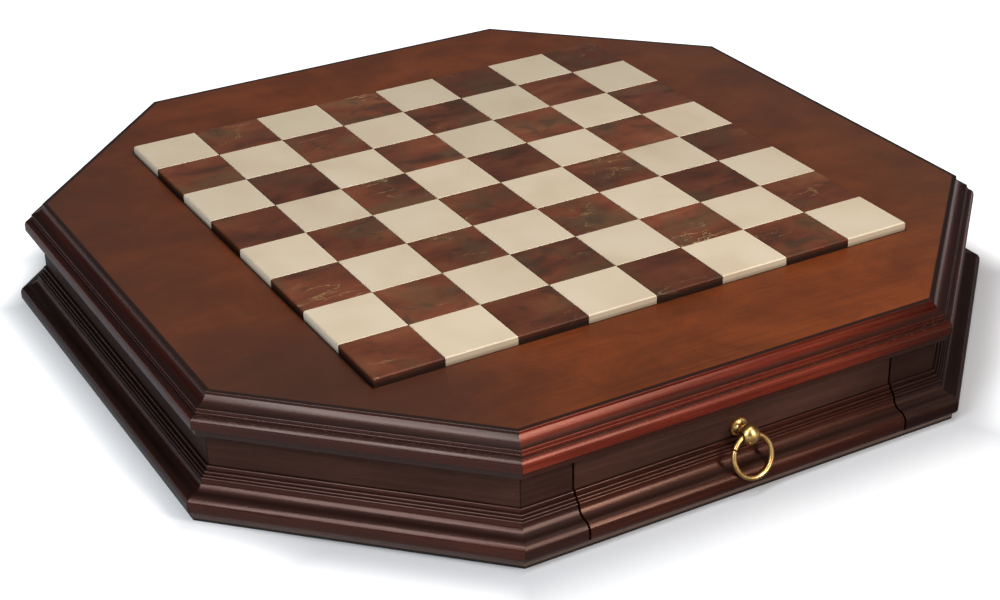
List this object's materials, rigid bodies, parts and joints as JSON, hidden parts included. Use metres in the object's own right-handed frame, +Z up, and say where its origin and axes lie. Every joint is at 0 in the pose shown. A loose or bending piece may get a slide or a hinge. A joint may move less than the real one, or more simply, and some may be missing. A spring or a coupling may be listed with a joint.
{
  "type": "tabletop chess case",
  "caption": "Low octagonal chess case with a raised marble board let into its top, stepped wooden mouldings and a front drawer with a brass ring pull for the pieces.",
  "frame": {"origin": "centre of the underside, on the surface that the case stands on", "axes": "+Z up, -Y towards the drawer, +X to the right of a player who sits at the drawer"},
  "size_m": [0.4888, 0.4919, 0.0686],
  "materials": {
    "mahogany": "dark red-brown, satin lacquer",
    "plain_wood": "pale, planed and unlacquered",
    "bottom_board": "thin plywood, stained dark",
    "light_marble": "cream, polished",
    "dark_marble": "red-brown with pale veins, polished",
    "brass": "polished",
    "screw_steel": "plain bright steel",
    "felt": "green felt"
  },
  "bodies": {
    "case": {"top_panel": "mahogany", "top_moulding_front": "mahogany", "top_moulding_front_right": "mahogany", "top_moulding_right": "mahogany", "top_moulding_back_right": "mahogany", "top_moulding_back": "mahogany", "top_moulding_back_left": "mahogany", "top_moulding_left": "mahogany", "top_moulding_front_left": "mahogany", "wall_front_right": "mahogany", "wall_right": "mahogany", "wall_back_right": "mahogany", "wall_back": "mahogany", "wall_back_left": "mahogany", "wall_left": "mahogany", "wall_front_left": "mahogany", "front_stile_left": "mahogany", "front_stile_right": "mahogany", "front_rail": "mahogany", "base_moulding_front_right": "mahogany", "base_moulding_right": "mahogany", "base_moulding_back_right": "mahogany", "base_moulding_back": "mahogany", "base_moulding_back_left": "mahogany", "base_moulding_left": "mahogany", "base_moulding_front_left": "mahogany", "base_moulding_left_of_drawer": "mahogany", "base_moulding_right_of_drawer": "mahogany", "light_squares": "light_marble", "dark_squares": "dark_marble", "bottom_panel": "bottom_board", "bottom_screws": "screw_steel", "corner_blocks": "plain_wood", "drawer_guide_left": "plain_wood", "drawer_guide_right": "plain_wood", "drawer_stops": "plain_wood"},
    "drawer": {"drawer_front": "mahogany", "drawer_front_moulding": "mahogany", "drawer_side_left": "plain_wood", "drawer_side_right": "plain_wood", "drawer_back": "plain_wood", "drawer_bottom": "plain_wood", "drawer_lining": "felt", "pull_post": "brass"},
    "ring": {"pull_ring": "brass"}
  },
  "joints": [
    {"name": "drawer_slide", "type": "slide", "parent": "case", "child": "drawer", "axis": [0, -1, 0], "range_m": [0, 0.3]},
    {"name": "ring_swing", "type": "hinge", "parent": "drawer", "child": "ring", "pos_m": [0, -0.2389, 0.0299], "axis": [-1, 0, 0], "range_deg": [0, 160]}
  ]
}
